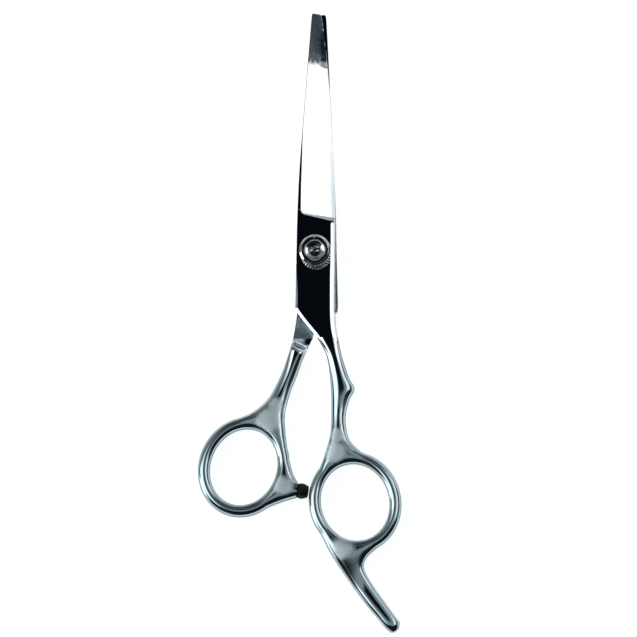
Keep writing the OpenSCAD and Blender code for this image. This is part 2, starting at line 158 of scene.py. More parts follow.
# ---------------------------------------------------------------- mesh helpers
def new_piece(name, verts, faces, body, replaces, smooth_angle=None):
    """A mesh piece from points in millimetres, riding on a CAD body in place of CAD nodes."""
    mesh = bpy.data.meshes.new(name)
    mesh.from_pydata([tuple(float(c) * MM for c in v) for v in verts], [], [tuple(f) for f in faces])
    mesh.validate()
    piece = bpy.data.objects.new(name, mesh)
    bpy.context.scene.collection.objects.link(piece)
    work = bmesh.new()
    work.from_mesh(mesh)
    bmesh.ops.remove_doubles(work, verts=work.verts, dist=1e-7)
    loose = [v for v in work.verts if not v.link_faces]
    bmesh.ops.delete(work, geom=loose, context="VERTS")
    bmesh.ops.recalc_face_normals(work, faces=work.faces)
    work.to_mesh(mesh)
    work.free()
    mesh.polygons.foreach_set("use_smooth", [True] * len(mesh.polygons))
    if smooth_angle:
        mesh.set_sharp_from_angle(angle=math.radians(smooth_angle))
    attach(piece, body)
    if replaces:
        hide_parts(*replaces)
    return piece


def modifier(piece, kind, **values):
    """Adds a modifier with its settings."""
    m = piece.modifiers.new(kind.title(), kind)
    for key, value in values.items():
        setattr(m, key, value)
    return m


def apply_modifiers(piece):
    """Turns a piece's modifiers into mesh."""
    graph = bpy.context.evaluated_depsgraph_get()
    mesh = bpy.data.meshes.new_from_object(piece.evaluated_get(graph))
    piece.modifiers.clear()
    piece.data = mesh


def lathe(profile, turns, knurl=None):
    """Points and faces of a profile of (radius, height) turned about Z.
    knurl gives a change of radius for a profile row and a step round."""
    verts, faces = [], []
    for row, (r, z) in enumerate(profile):
        for k in range(turns):
            a = 2 * math.pi * k / turns
            rr = r + (knurl(row, k) if knurl else 0)
            verts.append((rr * math.cos(a), rr * math.sin(a), z))
    for row in range(len(profile) - 1):
        for k in range(turns):
            n = (k + 1) % turns
            faces.append((row * turns + k, row * turns + n, (row + 1) * turns + n, (row + 1) * turns + k))
    faces.append(tuple(range(turns))[::-1])
    faces.append(tuple((len(profile) - 1) * turns + k for k in range(turns)))
    return verts, faces


def cutter(verts, faces):
    """A throwaway solid for boolean cuts, in millimetres."""
    mesh = bpy.data.meshes.new("cutter")
    mesh.from_pydata([tuple(float(c) * MM for c in v) for v in verts], [], faces)
    tool = bpy.data.objects.new("cutter", mesh)
    work = bmesh.new()
    work.from_mesh(mesh)
    bmesh.ops.recalc_face_normals(work, faces=work.faces)
    work.to_mesh(mesh)
    work.free()
    bpy.context.scene.collection.objects.link(tool)
    return tool


def cut(piece, tools):
    """Takes the tools' solids out of a piece and throws the tools away."""
    for tool in tools:
        modifier(piece, "BOOLEAN", operation="DIFFERENCE", solver="EXACT", object=tool)
    apply_modifiers(piece)
    for tool in tools:
        bpy.data.objects.remove(tool)


def box_points(size, centre, degrees=0):
    """Points and faces of a box, turned about Z."""
    sx, sy, sz = (s / 2 for s in size)
    verts = []
    for z in (-sz, sz):
        for x, y in ((-sx, -sy), (sx, -sy), (sx, sy), (-sx, sy)):
            p = turned((x, y), degrees)
            verts.append((p[0] + centre[0], p[1] + centre[1], z + centre[2]))
    return verts, [(3, 2, 1, 0), (4, 5, 6, 7), (0, 1, 5, 4), (1, 2, 6, 5), (2, 3, 7, 6), (3, 0, 4, 7)]


# ---------------------------------------------------------------- handles
def blend(f):
    """A smooth step from 0 to 1 as f goes from 0 to 1."""
    g = min(1.0, max(0.0, f))
    return g * g * (3 - 2 * g)


def into_ring(y):
    """0 up the shank and 1 from where the ring begins."""
    return blend((-44 - y) / 8)


def edge_radius(y):
    """Width over which a handle's edges are rounded: widest on the shank."""
    return 1.37 + 0.68 * blend((SEAM_Y - y) / 11) - 0.33 * into_ring(y)


def crown(d, rise, swell, y):
    """Height of the surface, 0 to 1. Next to the seam it is flat with shallow bevels and leaning
    walls, by the distance d in from the edge. Down the shank it turns into a round section."""
    radius = edge_radius(y)
    wall = STEPS[6] * radius
    top = 1 - BEVEL_SLOPE * (radius - wall) / PARTING
    flat = top * d / wall if d < wall else min(1.0, top + BEVEL_SLOPE * (d - wall) / PARTING)
    k = blend((SEAM_Y + 3 - y) / 24)
    fullness = 3.8 + 1.6 * into_ring(y)
    round_section = math.sqrt(max(0.0, 1 - (1 - rise) ** fullness))
    return k * round_section * (1 - SWELL * (1 - swell)) + (1 - k) * flat


STEPS = [1 - math.cos(math.radians(a)) for a in (0, 7, 14, 22, 30, 38, 46, 55, 65, 77, 90)]
MIDDLE = 11  # columns between a band's rounded sides
REACH = 1.5  # distance over which a handle's surface rises from its outline
SWELL = 0.2  # share by which a narrow band stands lower than a broad web
SWELL_REACH = 4.0
LAST = 2 * len(STEPS) + MIDDLE - 1


def columns(width, radius):
    """Places across a band, closer together where its edges are rounded."""
    q = min(radius, 0.47 * width) / width
    return ([q * s for s in STEPS] + [q + (1 - 2 * q) * (k + 1) / (MIDDLE + 1) for k in range(MIDDLE)]
            + [1 - q * s for s in reversed(STEPS)])


def film(plan, faces, held, reach):
    """Rise of a film over a flat mesh: 0 where it is held, along the outline, growing to 1 well
    inside. It evens out over reach, so bands, webs and their corners run into one another."""
    tri = np.array([(f[0], f[k], f[k + 1]) for f in faces for k in range(1, len(f) - 1)])
    p, q = plan[tri[:, 1]] - plan[tri[:, 0]], plan[tri[:, 2]] - plan[tri[:, 0]]
    twice_area = np.abs(p[:, 0] * q[:, 1] - p[:, 1] * q[:, 0])
    tri, twice_area = tri[twice_area > 1e-9], twice_area[twice_area > 1e-9]
    size = len(plan)
    mass = np.bincount(tri.ravel(), np.repeat(twice_area / 6, 3), size)
    one, other, weight = [], [], []
    for k in range(3):
        i, j, far = tri[:, k - 2], tri[:, k - 1], tri[:, k]
        one.append(i)
        other.append(j)
        weight.append(((plan[i] - plan[far]) * (plan[j] - plan[far])).sum(1) / (2 * twice_area) * reach**2)
    one, other, weight = (np.concatenate(part) for part in (one, other, weight))

    def pull(f):
        flow = weight * (f[one] - f[other])
        return inside * (mass * f + np.bincount(one, flow, size) - np.bincount(other, flow, size))

    inside = (~held & (mass > 0)).astype(float)
    stiff = mass + np.bincount(one, weight, size) + np.bincount(other, weight, size) + 1e-12
    f = np.zeros(size)
    left = inside * mass
    way = left / stiff
    pace = (left * way).sum()
    for turn in range(4000):
        pulled = pull(way)
        share = pace / (way * pulled).sum()
        f += share * way
        left -= share * pulled
        eased = left / stiff
        new_pace = (left * eased).sum()
        if new_pace < 1e-16:
            break
        way = eased + way * new_pace / pace
        pace = new_pace
    return np.clip(f, 0, 1)


def handle(name, ring, shank, shank_joint, tail, tail_joint, tip, up, tip_height, body, replaces):
    """A ring with a shank and a tail growing out of its rim: three grids laid out in plan,
    raised above and below the parting plane. tip is the tail's rounded end, or None for a seat."""
    shank_rows, tail_rows = 88, (44 if tip else 16)
    ring_columns = [s * RING_ROUNDING for s in STEPS] + [1 - s * RING_ROUNDING for s in reversed(STEPS)]
    across = len(ring_columns)

    def arc(joint, width):
        return [joint[0] + (joint[1] - joint[0]) * u for u in columns(width, FOOT_ROUNDING)]

    def rising(values):
        return values if values[-1] > values[0] else values[::-1]

    shank_up = rising(arc(shank_joint, SHANK_FOOT))
    tail_up = rising(arc(tail_joint, TAIL_FOOT))
    gaps = [(shank_up[-1], tail_up[0]), (tail_up[-1], shank_up[0] + 360)]
    spans = [[a + (b - a) * k / n for k in range(1, n)] for a, b, n in
             ((a, b, math.ceil((b - a) / 3)) for a, b in gaps)]
    angles = shank_up + spans[0] + tail_up + spans[1]
    around = len(angles)
    tail_first = LAST + 1 + len(spans[0])

    plan, insets = [], []
    for t in angles:
        for s in ring_columns:
            plan.append(on_ring(ring, t, s * BAND_WIDTH))
            insets.append(0)

    def grid(edges, joint, rows, foot, spread, end):
        """Rows across a shank or tail from its free end to the rim. The late rows take the rim's
        columns; spread sets how late they bend to it, and end is the outline of a rounded end."""
        a1, b1 = rim(ring, joint[0]), rim(ring, joint[1])
        for i in range(rows):
            f = i / rows
            a, b = along(edges[0], f), along(edges[1], f)
            width = np.hypot(*(b - a))
            for k, u in enumerate(columns(width, edge_radius(a[1]))):
                if f > 0.8:
                    late = blend((f - 0.8) / 0.2)
                    u = u * (1 - late) + columns(foot, FOOT_ROUNDING)[k] * late
                r = rim(ring, joint[0] + (joint[1] - joint[0]) * u)
                p = a + (b - a) * u + f**spread * (r - a1 - (b1 - a1) * u)
                if end:
                    p = p + (1 - f) ** 5 * (whole(end, u) - end[0] - (end[-1] - end[0]) * u)
                plan.append(p)
                insets.append(min(u, 1 - u) * width)

    grid(shank, shank_joint, shank_rows, SHANK_FOOT, 3, None)
    grid(tail, tail_joint, tail_rows, TAIL_FOOT, 2, tip)

    plan = np.array(plan)
    total = len(plan)
    ring_count = around * across
    shank_count = shank_rows * (LAST + 1)

    def ring_at(s, i, j):
        i %= around
        inside = 0 < i < LAST or tail_first < i < tail_first + LAST
        free = j == 0 or (j == across - 1 and not inside)
        return (0 if free else s * total) + i * across + j

    def strip_at(s, i, k, rows, first, count, joint, round_end):
        if i == rows:
            return ring_at(s, first + (LAST - k if joint[0] > joint[1] else k), across - 1)
        free = k in (0, LAST) or (round_end and i == 0)
        return (0 if free else s * total) + count + i * (LAST + 1) + k

    def surface(s):
        quads = []
        for i in range(around):
            for j in range(across - 1):
                quads.append([ring_at(s, i, j), ring_at(s, i + 1, j), ring_at(s, i + 1, j + 1),
                              ring_at(s, i, j + 1)])
        for rows, first, count, joint, round_end in strips:
            for i in range(rows):
                for k in range(LAST):
                    a, b, c, d = (strip_at(s, row, column, rows, first, count, joint, round_end)
                                  for row, column in ((i, k), (i, k + 1), (i + 1, k + 1), (i + 1, k)))
                    if round_end and i == 0 and k in (0, LAST - 1):
                        # A corner of the outline, split so that both surfaces don't share a diagonal
                        quads += [[a, b, c], [a, c, d]] if k == 0 else [[a, b, d], [b, c, d]]
                    else:
                        quads.append([a, b, c, d])
        return quads

    strips = ((shank_rows, 0, ring_count, shank_joint, False),
              (tail_rows, tail_first, ring_count + shank_count, tail_joint, bool(tip)))
    top_faces, low_faces = surface(0), surface(1)
    shared = np.intersect1d(np.concatenate(top_faces), np.concatenate(low_faces))
    held = np.zeros(total, bool)
    held[shared] = True
    rise = film(plan, top_faces, held, REACH)
    swell = np.minimum(1, film(plan, top_faces, held, SWELL_REACH) / 0.5)

    ring_low = ring[0][1] - ring[1]
    upper, lower = [], []
    for p, d, lift, bulge in zip(plan, insets, rise, swell):
        slant = STEP_SLANT * (p[0] - STEP_LEFT) if up < 0 else 0
        start = blend((SEAM_Y - p[1] - slant) / STEP_LENGTH)
        base = PARTING + up * GAP / 2 * (1 - start)
        far = blend((ring_low - p[1]) / TAPER_LENGTH) if tip else 0.0
        full = (1 - far) + tip_height / PARTING * far
        height = crown(d, lift, bulge, p[1]) * full
        above, below = (1, start) if up > 0 else (start, 1)
        upper.append((p[0], p[1], base + height * above * (TOP_FACE - base)))
        lower.append((p[0], p[1], base - height * below * base))

    faces = top_faces + low_faces
    for rows, first, count, joint, round_end in strips:
        if not round_end:
            # The flat end: a seam with the blade, or the bumper's seat
            for k in range(LAST):
                faces.append([strip_at(s, 0, b, rows, first, count, joint, round_end)
                              for s, b in ((0, k), (1, k), (1, k + 1), (0, k + 1))])
    clean = []
    for f in faces:
        kept = [v for n, v in enumerate(f) if v != f[n - 1]]
        if len(set(kept)) > 2:
            clean.append(kept)
    points = np.array(upper + lower)
    return new_piece(name, points, clean, body, replaces, 50)


# ---------------------------------------------------------------- blades
FINGER_EDGE = [(6.2, SEAM_Y), (5.75, -21.5), (5.45, -17), (5.45, -4), (5.45, 9.7), (5.3, 18), (4.8, 29),
               (4.1, 43.6), (3.15, 54), (2.2, 62.5), (1.45, 67.8)]
FINGER_BACK = [(0.45, SEAM_Y), (-3, -19.8), (-4.9, -17.2), (-5.55, -15.9), (-5.65, -14.5), (-5.3, 0.7),
               (-5.1, 9.7), (-4.5, 23.3), (-3.15, 41.3), (-1.75, 59.4), (-1.2, 66.1), (-1, 67.9)]
# The thumb blade's sides, with X turned over so that it is made as the finger blade is
THUMB_EDGE = [(6.4, SEAM_Y), (5.3, -17), (5.05, -8), (4.9, 4), (4.7, 9.7), (4.3, 18), (3.4, 32), (2.1, 48),
              (0.5, 64), (-0.6, 67.6)]
THUMB_BACK = [(1, SEAM_Y), (0.2, -21.6), (-3.2, -18.6), (-5.4, -16.9), (-5.95, -16.3), (-6.1, -14.6),
              (-5.95, -8.3), (-5.72, 0.7), (-5.55, 9.7), (-5.3, 18), (-4.75, 29), (-4.05, 43.6),
              (-3.5, 55), (-2.9, 66.1), (-2.6, 67.6)]
HEEL_Y = -16.4  # the thumb blade's heel runs from here to the seam
HEEL_SCALLOP = 0.42  # how deep its inner face is cut
HOLLOW = 0.07  # how deep an inner face is ground hollow
TIP_START = 51  # where the worn finish at the tip begins
WALL_START = 0.012  # keeps the foot of a wall apart from its top, even where it stands upright
# Across the blade the rows follow the shoulder from one Y to the other
SHOULDER_START, SHOULDER_END = 6.5, 18
# The shoulder's top and foot: Y at the back, Y at the edge and how far its corner is rounded
SHOULDER_TOP, SHOULDER_FOOT = (10.9, 8.5, 1.0), (11.25, 9.95, 1.1)
INNER_BAND = 0.6  # how far from its inner face a blade has the ground finish
TIP_ROUND = 0.55  # length of the rounded tip


def side_at(points):
    """X of a blade's side as a function of Y, from its smooth curve."""
    curve = np.array([whole([np.array(p, float) for p in points], k / 600) for k in range(601)])
    return lambda y: float(np.interp(y, curve[:, 1], curve[:, 0]))


def side_slope(side, y):
    """How much wider a band along the side is when it is measured along X."""
    slope = (side(y + 0.3) - side(y - 0.3)) / 0.6
    return math.sqrt(1 + min(1.2, abs(slope)) ** 2)


def blade(name, edge_points, back_points, mirror, body, replaces, left_bevel_from):
    """A blade with its flat round the pivot. It is made outer face up, edge towards +X, as a grid
    of rows across; mirror turns it over for the thumb half."""
    edge, back = side_at(edge_points), side_at(back_points)
    tip_y = min(edge_points[-1][1], back_points[-1][1])
    across = [0, 0.012, 0.026, 0.042, 0.06, 0.08, 0.105, 0.14, 0.19, 0.26, 0.35, 0.45, 0.55, 0.65,
              0.75, 0.84, 0.92, 0.97, 1]

    def strip(y):
        """Width of the flat strip left along the back beyond the shoulder."""
        return 0.13 + 0.57 * blend((37 - y) / 17) + 0.2 * blend((21 - y) / 9)

    def slope(y):
        """Tilt of the ground face across; it steepens at the tip, where the blade is narrow."""
        return math.tan(math.radians(12.5 + 4.6 * blend((y - 51.4) / 3.6) + 8 * blend((y - 53) / 12)))

    def strip_height(y):
        """Height of the back: the full thickness at the shoulder, thinner towards the tip."""
        width = edge(min(y, 46)) - back(min(y, 46)) - strip(y)
        return min(TOP_FACE, UPPER_FACE + 0.3 + slope(min(y, 46)) * width) - 0.02 * max(0.0, y - 56)

    def line(x, y_at_back, y_at_edge, corner):
        """Y of a shoulder line, with its corner rounded where it meets the strip."""
        x0, x1 = back(12) + strip(12), edge(9)
        f = (x - x0) / (x1 - x0)
        near = 1 - min(1.0, max(0.0, (x - x0) / 1.1))
        return y_at_back + (y_at_edge - y_at_back) * f + corner * (1 - math.sqrt(1 - near * near))

    # Each row: (kind, its Y where that is the same all across, how far it is through its part)
    rows = []
    for k in range(44):
        y = SEAM_Y + (SHOULDER_START - SEAM_Y) * k / 44
        rows.append(("flat", y, 0))
    for k in range(7):
        rows.append(("flat", None, k / 6))
    for k in range(1, 8):
        rows.append(("ramp", None, k / 7))
    for k in range(1, 9):
        rows.append(("ground", None, k / 8))
    for k in range(1, 71):
        rows.append(("ground", SHOULDER_END + (tip_y - TIP_ROUND - SHOULDER_END) * k / 70, 1))

    grid = []
    for kind, row_y, f in rows:
        top, bottom = [], []
        y_ref = row_y if row_y is not None else 11 + (7 if kind == "ground" else 0) * f
        for n in range(len(across) + 3):
            # Column 0 is the back, 1 the strip's or bevel's border, the last two the edge's
            u = 0 if n < 2 else min(1.0, across[min(n - 1, len(across) - 1)])
            y = y_ref
            # Along the shoulder X and Y depend on each other, so they settle together
            for settle in range(4):
                x0, x1 = back(y), edge(y)
                if kind == "flat":
                    bevel = 0.62 * blend((left_bevel_from - y) / 11) + 0.1 * blend((-15 - y) / 2)
                    left = bevel * side_slope(back, y) + strip(12) * blend((y - 5) / 5)
                    left = max(left, 0.04)
                else:
                    left = strip(y)
                lean = WALL_START + WALL_LEAN * blend((9.6 - y) / 1.5)
                right = 0.22 * blend((y - 18) / 38) * (1 - 0.85 * blend((y - 49) / 5))
                if kind == "flat" and y < 8.6:
                    corner = 1 - min(1.0, (8.6 - y) / 0.8)
                    right = (0.75 + 0.2 * blend((3 - y) / 12)) * math.sqrt(1 - corner * corner)
                right = max(right, 0.03)
                first, last = x0 + left, x1 - lean - right
                x = first + (last - first) * u
                if n == 0:
                    x = x0
                if n == len(across) + 1:
                    x = x1 - lean
                if n == len(across) + 2:
                    x = x1
                if row_y is not None:
                    break
                flat_line = line(x, *SHOULDER_TOP)
                ground_line = line(x, *SHOULDER_FOOT)
                if kind == "flat":
                    y = SHOULDER_START + (flat_line - SHOULDER_START) * f
                elif kind == "ramp":
                    y = flat_line + (ground_line - flat_line) * f
                else:
                    y = ground_line + (SHOULDER_END - ground_line) * f
            if kind == "flat":
                z = TOP_FACE
                if n == 0:
                    z -= (BEVEL_SLOPE + 0.68 * blend((y + 16.2) / 1.8)) * bevel
                if n >= len(across) + 1:
                    z -= BEVEL_SLOPE * right
            else:
                ground = strip_height(y) - slope(y) * max(0.0, x - first)
                fall = 1 - (1 - f) ** 1.8 if kind == "ramp" else 1
                if n < 2:
                    fall, ground = 1, strip_height(y)
                z = TOP_FACE + (ground - TOP_FACE) * fall
                if n == len(across) + 1:
                    z -= EDGE_SLOPE * right
            z = max(z, UPPER_FACE + 0.1)
            heel = min(1.0, max(0.0, (HEEL_Y - y) / (HEEL_Y - SEAM_Y))) if mirror else 0.0
            across_blade = (x - (x0 + x1) / 2) / ((x1 - x0) / 2)
            hollow = HOLLOW * blend((y - 16) / 8) * blend((50 - y) / 8) * max(0.0, 1 - across_blade**2)
            hollow += HEEL_SCALLOP * math.sin(math.pi * heel)
            # The right-hand wall leans out: its last column is the foot of the wall
            if n == len(across) + 2:
                z = UPPER_FACE + 0.08
            top.append((x, y, z))
            bottom.append((x, y, UPPER_FACE + hollow))
        grid.append((top, bottom))
    # Rounded blunt tip
    top, bottom = grid[-1]
    for lift, squeeze in ((0.3, 0.06), (0.47, 0.16), (TIP_ROUND, 0.34)):
        x_mid = (top[0][0] + top[-1][0]) / 2
        grid.append(([((x_mid + (x - x_mid) * (1 - squeeze)), y + lift, z - 0.35 * squeeze * (z - UPPER_FACE))
                      for x, y, z in top],
                     [((x_mid + (x - x_mid) * (1 - squeeze)), y + lift, z) for x, y, z in bottom]))

    n = len(grid[0][0])
    verts = [p for top, bottom in grid for p in top + bottom]
    faces = []

    def at(row, side, k):
        return row * 2 * n + side * n + k

    for r in range(len(grid) - 1):
        for k in range(n - 1):
            faces.append((at(r, 0, k), at(r, 0, k + 1), at(r + 1, 0, k + 1), at(r + 1, 0, k)))
            faces.append((at(r, 1, k), at(r + 1, 1, k), at(r + 1, 1, k + 1), at(r, 1, k + 1)))
        for k in (0, n - 1):
            faces.append((at(r, 0, k), at(r + 1, 0, k), at(r + 1, 1, k), at(r, 1, k)))
    for r in (0, len(grid) - 1):
        for k in range(n - 1):
            faces.append((at(r, 0, k), at(r, 0, k + 1), at(r, 1, k + 1), at(r, 1, k)))
    if mirror:
        verts = [(-x, y, 2 * PARTING - z) for x, y, z in verts]
    return new_piece(name, verts, faces, body, replaces, 7)


def finish_of_blade(piece, outer_up):
    """How rough a blade is at each point: a mirror outside, ground near its inner face, satin on
    the thumb blade's heel and worn at the tip."""
    attribute = piece.data.attributes.new("finish_and_sheen", "FLOAT", "POINT")
    values = []
    for v in piece.data.vertices:
        y, z = v.co.y / MM, v.co.z / MM
        inside = z < UPPER_FACE + INNER_BAND if outer_up else z > LOWER_FACE - INNER_BAND
        heel = inside and not outer_up and y < -16
        ground = 0.5 - 0.45 * blend((y - 15) / 35)
        values.append(1.0 if heel else ground if inside else 0.42 * blend((y - TIP_START) / 5))
    attribute.data.foreach_set("value", values)


# ---------------------------------------------------------------- pivot and tension stack
THRUST_TOP = TOP_FACE + 0.35
PLATE_TOP = THRUST_TOP + 0.04 + 0.5 + 0.02 + 0.3
DIAL_BOTTOM = PLATE_TOP + 0.04
DIAL_HEIGHT = 2.8
DIAL_TOP = DIAL_BOTTOM + DIAL_HEIGHT + 0.04
DIAL_RADIUS = 4.4
GROOVES = 36
SCREW_END = DIAL_BOTTOM + 1.3
CAP_RADIUS = 1.75
PIN_RADIUS = 0.45
PIN_CIRCLE = 3.7


def tension_dial():
    """The knurled dial: V grooves round the side, a bright chamfer, a dished face and a cone."""
    per_groove = 8
    turns = GROOVES * per_groove
    groove = [0, -0.02, -0.10, -0.18, -0.22, -0.18, -0.10, -0.02]
    bore = 1.8
    z0, z1 = DIAL_BOTTOM, DIAL_TOP
    r0 = DIAL_RADIUS
    profile = [(bore, z0), (r0 - 0.45, z0), (r0 - 0.36, z0 + 0.03), (r0, z0 + 0.38),
               (r0, z0 + 0.45), (r0, z1 - 0.5), (r0 - 0.03, z1 - 0.38),
               (r0 - 0.1, z1 - 0.3), (r0 - 0.5, z1 - 0.09), (r0 - 0.56, z1 - 0.055),
               (r0 - 0.62, z1 - 0.04), (3.74, z1 - 0.04), (3.72, z1 - 0.06), (3.7, z1 - 0.25),
               (3.66, z1 - 0.29), (2.7, z1 - 0.3), (2.6, z1 - 0.31), (2.56, z1 - 0.32),
               (1.94, z1 - 0.475), (1.88, z1 - 0.52), (1.85, z1 - 0.6), (1.85, SCREW_END + 0.1),
               (bore, SCREW_END + 0.06)]
    depth = [0, 0, 0, 1, 1, 1, 0.25, 0] + [0] * 15
    verts, faces = lathe(profile, turns, lambda row, k: depth[row] * groove[k % per_groove])
    # Join the last row to the first down the bore, in place of the end caps
    faces = faces[:-2]
    last = (len(profile) - 1) * turns
    faces += [(last + k, last + (k + 1) % turns, (k + 1) % turns, k) for k in range(turns)]
    piece = new_piece("tension_dial_knurled", verts, faces, "dial", ["tension_dial"], 11)
    hole, hole_faces = lathe([(PIN_RADIUS + 0.02, z1 - 0.9), (PIN_RADIUS + 0.02, z1 + 1)], 40)
    cut(piece, [cutter([(x, y + PIN_CIRCLE, z) for x, y, z in hole], hole_faces)])
    return piece


def click_pin():
    """The brass pin in the dial's rim, with a domed top."""
    z1 = DIAL_TOP
    profile = [(PIN_RADIUS - 0.12, DIAL_BOTTOM + 0.1), (PIN_RADIUS, DIAL_BOTTOM + 0.25),
               (PIN_RADIUS, z1 - 0.4)]
    profile += [(PIN_RADIUS * math.cos(math.radians(a)), z1 - 0.4 + 0.4 * math.sin(math.radians(a)))
                for a in (15, 30, 45, 60, 75, 85)]
    verts, faces = lathe(profile, 40)
    return new_piece("click_pin_brass", [(x, y + PIN_CIRCLE, z) for x, y, z in verts], faces,
                     "dial", ["click_pin"], 35)


def slotted_head(profile, turns, slot, name, body, replaces):
    """A turned screw with a driver slot cut into it and its corners broken."""
    verts, faces = lathe(profile, turns)
    piece = new_piece(name, verts, faces, body, replaces, 30)
    cut(piece, [cutter(*slot)])
    modifier(piece, "BEVEL", width=0.035 * MM, segments=2, limit_method="ANGLE",
             angle_limit=math.radians(40), harden_normals=True, use_clamp_overlap=True)
    apply_modifiers(piece)
    return piece


def dial_screw():
    """The small cheese-headed screw in the middle of the dial: domed, with a driver slot."""
    z = SCREW_END
    dome = [(CAP_RADIUS - 0.02 - 0.5 * (1 - math.cos(a)), z + 0.42 + 0.2 * math.sin(a))
            for a in (math.radians(d) for d in (0, 25, 50, 75))]
    crown_rows = [(r, z + 0.9 - 0.27 * (r / 1.4) ** 2) for r in (1.2, 0.9, 0.6, 0.3)]
    profile = [(0.8, z - 2.3), (0.8, z), (CAP_RADIUS - 0.08, z), (CAP_RADIUS, z + 0.06)] + dome + crown_rows
    slot = box_points((5, 0.5, 0.9), (0, 0, z + 1.0), 25)
    return slotted_head(profile, 96, slot, "dial_screw_slotted", "thumb_half", ["dial_screw"])


def pivot_screw():
    """The pivot screw: slotted rear head, round shank and a thread with rounded ridges."""
    z0, z1 = 0.05, 1.0
    profile = [(3.35, z0), (3.46, z0 + 0.04), (3.5, z0 + 0.12), (3.5, z1), (2.0, z1), (2.0, PLATE_TOP)]
    pitch = 0.35
    z = PLATE_TOP
    while z + pitch < SCREW_END:
        profile += [(1.74, z + 0.05), (1.62, z + pitch * 0.5), (1.74, z + pitch - 0.05)]
        z += pitch
    profile += [(1.7, z + 0.02), (1.55, SCREW_END - 0.02)]
    slot = box_points((5.6, 0.8, 1.2), (0, 0, 0))
    return slotted_head(profile, 96, slot, "pivot_screw_slotted", "thumb_half",
                        ["pivot_screw"])


def bumper():
    """The rubber bumper: a moulded barrel, narrowed towards the end that meets the ring."""
    length = 3.1
    profile = [(0.0001, 0.03), (1.86, 0.03), (1.95, 0.12), (2.02, 0.35)]
    for k in range(1, 12):
        f = k / 12
        radius = 2.02 + 0.13 * math.sin(math.pi * min(1, f * 1.25)) - 0.35 * blend((f - 0.55) / 0.6)
        profile.append((radius, 0.35 + (length - 0.75) * f))
    profile += [(1.72, length - 0.3), (1.58, length - 0.14), (1.36, length - 0.04), (1.1, length),
                (0.0001, length)]
    verts, faces = lathe(profile, 72)
    lean = math.radians(-BUMPER_LEAN)
    placed = []
    for x, y, z in verts:
        px, py, pz = z, y, x  # the lathe's axis laid along +X
        placed.append((SEAT[0] + px * math.cos(lean) - py * math.sin(lean),
                       SEAT[1] + px * math.sin(lean) + py * math.cos(lean), PARTING + pz))
    return new_piece("bumper_rubber_stop", placed, faces, "thumb_half", ["bumper"], 45)


# ---------------------------------------------------------------- materials
PLAIN_POLISH = 0.14


def material(name):
    """A new material with its nodes, links and shader."""
    m = bpy.data.materials.new(name)
    m.use_nodes = True
    return m, m.node_tree.nodes, m.node_tree.links, m.node_tree.nodes["Principled BSDF"]


def noise(nodes, links, coords, scale, detail, stretch=(1, 1, 1)):
    """Noise over the object, in units of one per millimetre when scale is 1."""
    place = nodes.new("ShaderNodeMapping")
    place.inputs["Scale"].default_value = [s / MM for s in stretch]
    links.new(coords.outputs["Object"], place.inputs["Vector"])
    n = nodes.new("ShaderNodeTexNoise")
    n.inputs["Scale"].default_value = scale
    n.inputs["Detail"].default_value = detail
    links.new(place.outputs["Vector"], n.inputs["Vector"])
    return n


def ramp(nodes, links, source, stops):
    """Colours by value: stops of (value, colour)."""
    r = nodes.new("ShaderNodeValToRGB")
    r.color_ramp.elements[0].position, r.color_ramp.elements[0].color = stops[0][0], (*stops[0][1], 1)
    r.color_ramp.elements[1].position, r.color_ramp.elements[1].color = stops[-1][0], (*stops[-1][1], 1)
    for place, colour in stops[1:-1]:
        e = r.color_ramp.elements.new(place)
        e.color = (*colour, 1)
    links.new(source, r.inputs["Fac"])
    return r


def scaled(nodes, links, source, low, high, new_low, new_high):
    """A value moved from one range to another."""
    m = nodes.new("ShaderNodeMapRange")
    for key, value in (("From Min", low), ("From Max", high), ("To Min", new_low), ("To Max", new_high)):
        m.inputs[key].default_value = value
    links.new(source, m.inputs["Value"])
    return m


def polished(name, dark, light, rough, grain, grain_stretch, bump):
    """Polished metal: a slight drift of tone, a fine grain and a roughness that varies with it."""
    m, nodes, links, shader = material(name)
    coords = nodes.new("ShaderNodeTexCoord")
    tone = noise(nodes, links, coords, 0.35, 4)
    links.new(ramp(nodes, links, tone.outputs["Fac"], [(0.3, dark), (0.7, light)]).outputs["Color"],
              shader.inputs["Base Color"])
    fine = noise(nodes, links, coords, grain, 3, grain_stretch)
    wear = scaled(nodes, links, fine.outputs["Fac"], 0.3, 0.7, rough[0], rough[1])
    links.new(wear.outputs["Result"], shader.inputs["Roughness"])
    relief = nodes.new("ShaderNodeBump")
    relief.inputs["Strength"].default_value = bump
    relief.inputs["Distance"].default_value = 0.01 * MM
    links.new(fine.outputs["Fac"], relief.inputs["Height"])
    links.new(relief.outputs["Normal"], shader.inputs["Normal"])
    shader.inputs["Metallic"].default_value = 1.0
    return m


def soft_finish(name, dark, light, rough, scale, bump):
    """Rubber or plastic with a moulded grain."""
    m, nodes, links, shader = material(name)
    coords = nodes.new("ShaderNodeTexCoord")
    grain = noise(nodes, links, coords, scale, 6)
    links.new(ramp(nodes, links, grain.outputs["Fac"], [(0.35, dark), (0.65, light)]).outputs["Color"],
              shader.inputs["Base Color"])
    links.new(scaled(nodes, links, grain.outputs["Fac"], 0.3, 0.7, rough[0], rough[1]).outputs["Result"],
              shader.inputs["Roughness"])
    relief = nodes.new("ShaderNodeBump")
    relief.inputs["Strength"].default_value = bump
    relief.inputs["Distance"].default_value = 0.03 * MM
    links.new(grain.outputs["Fac"], relief.inputs["Height"])
    links.new(relief.outputs["Normal"], shader.inputs["Normal"])
    return m


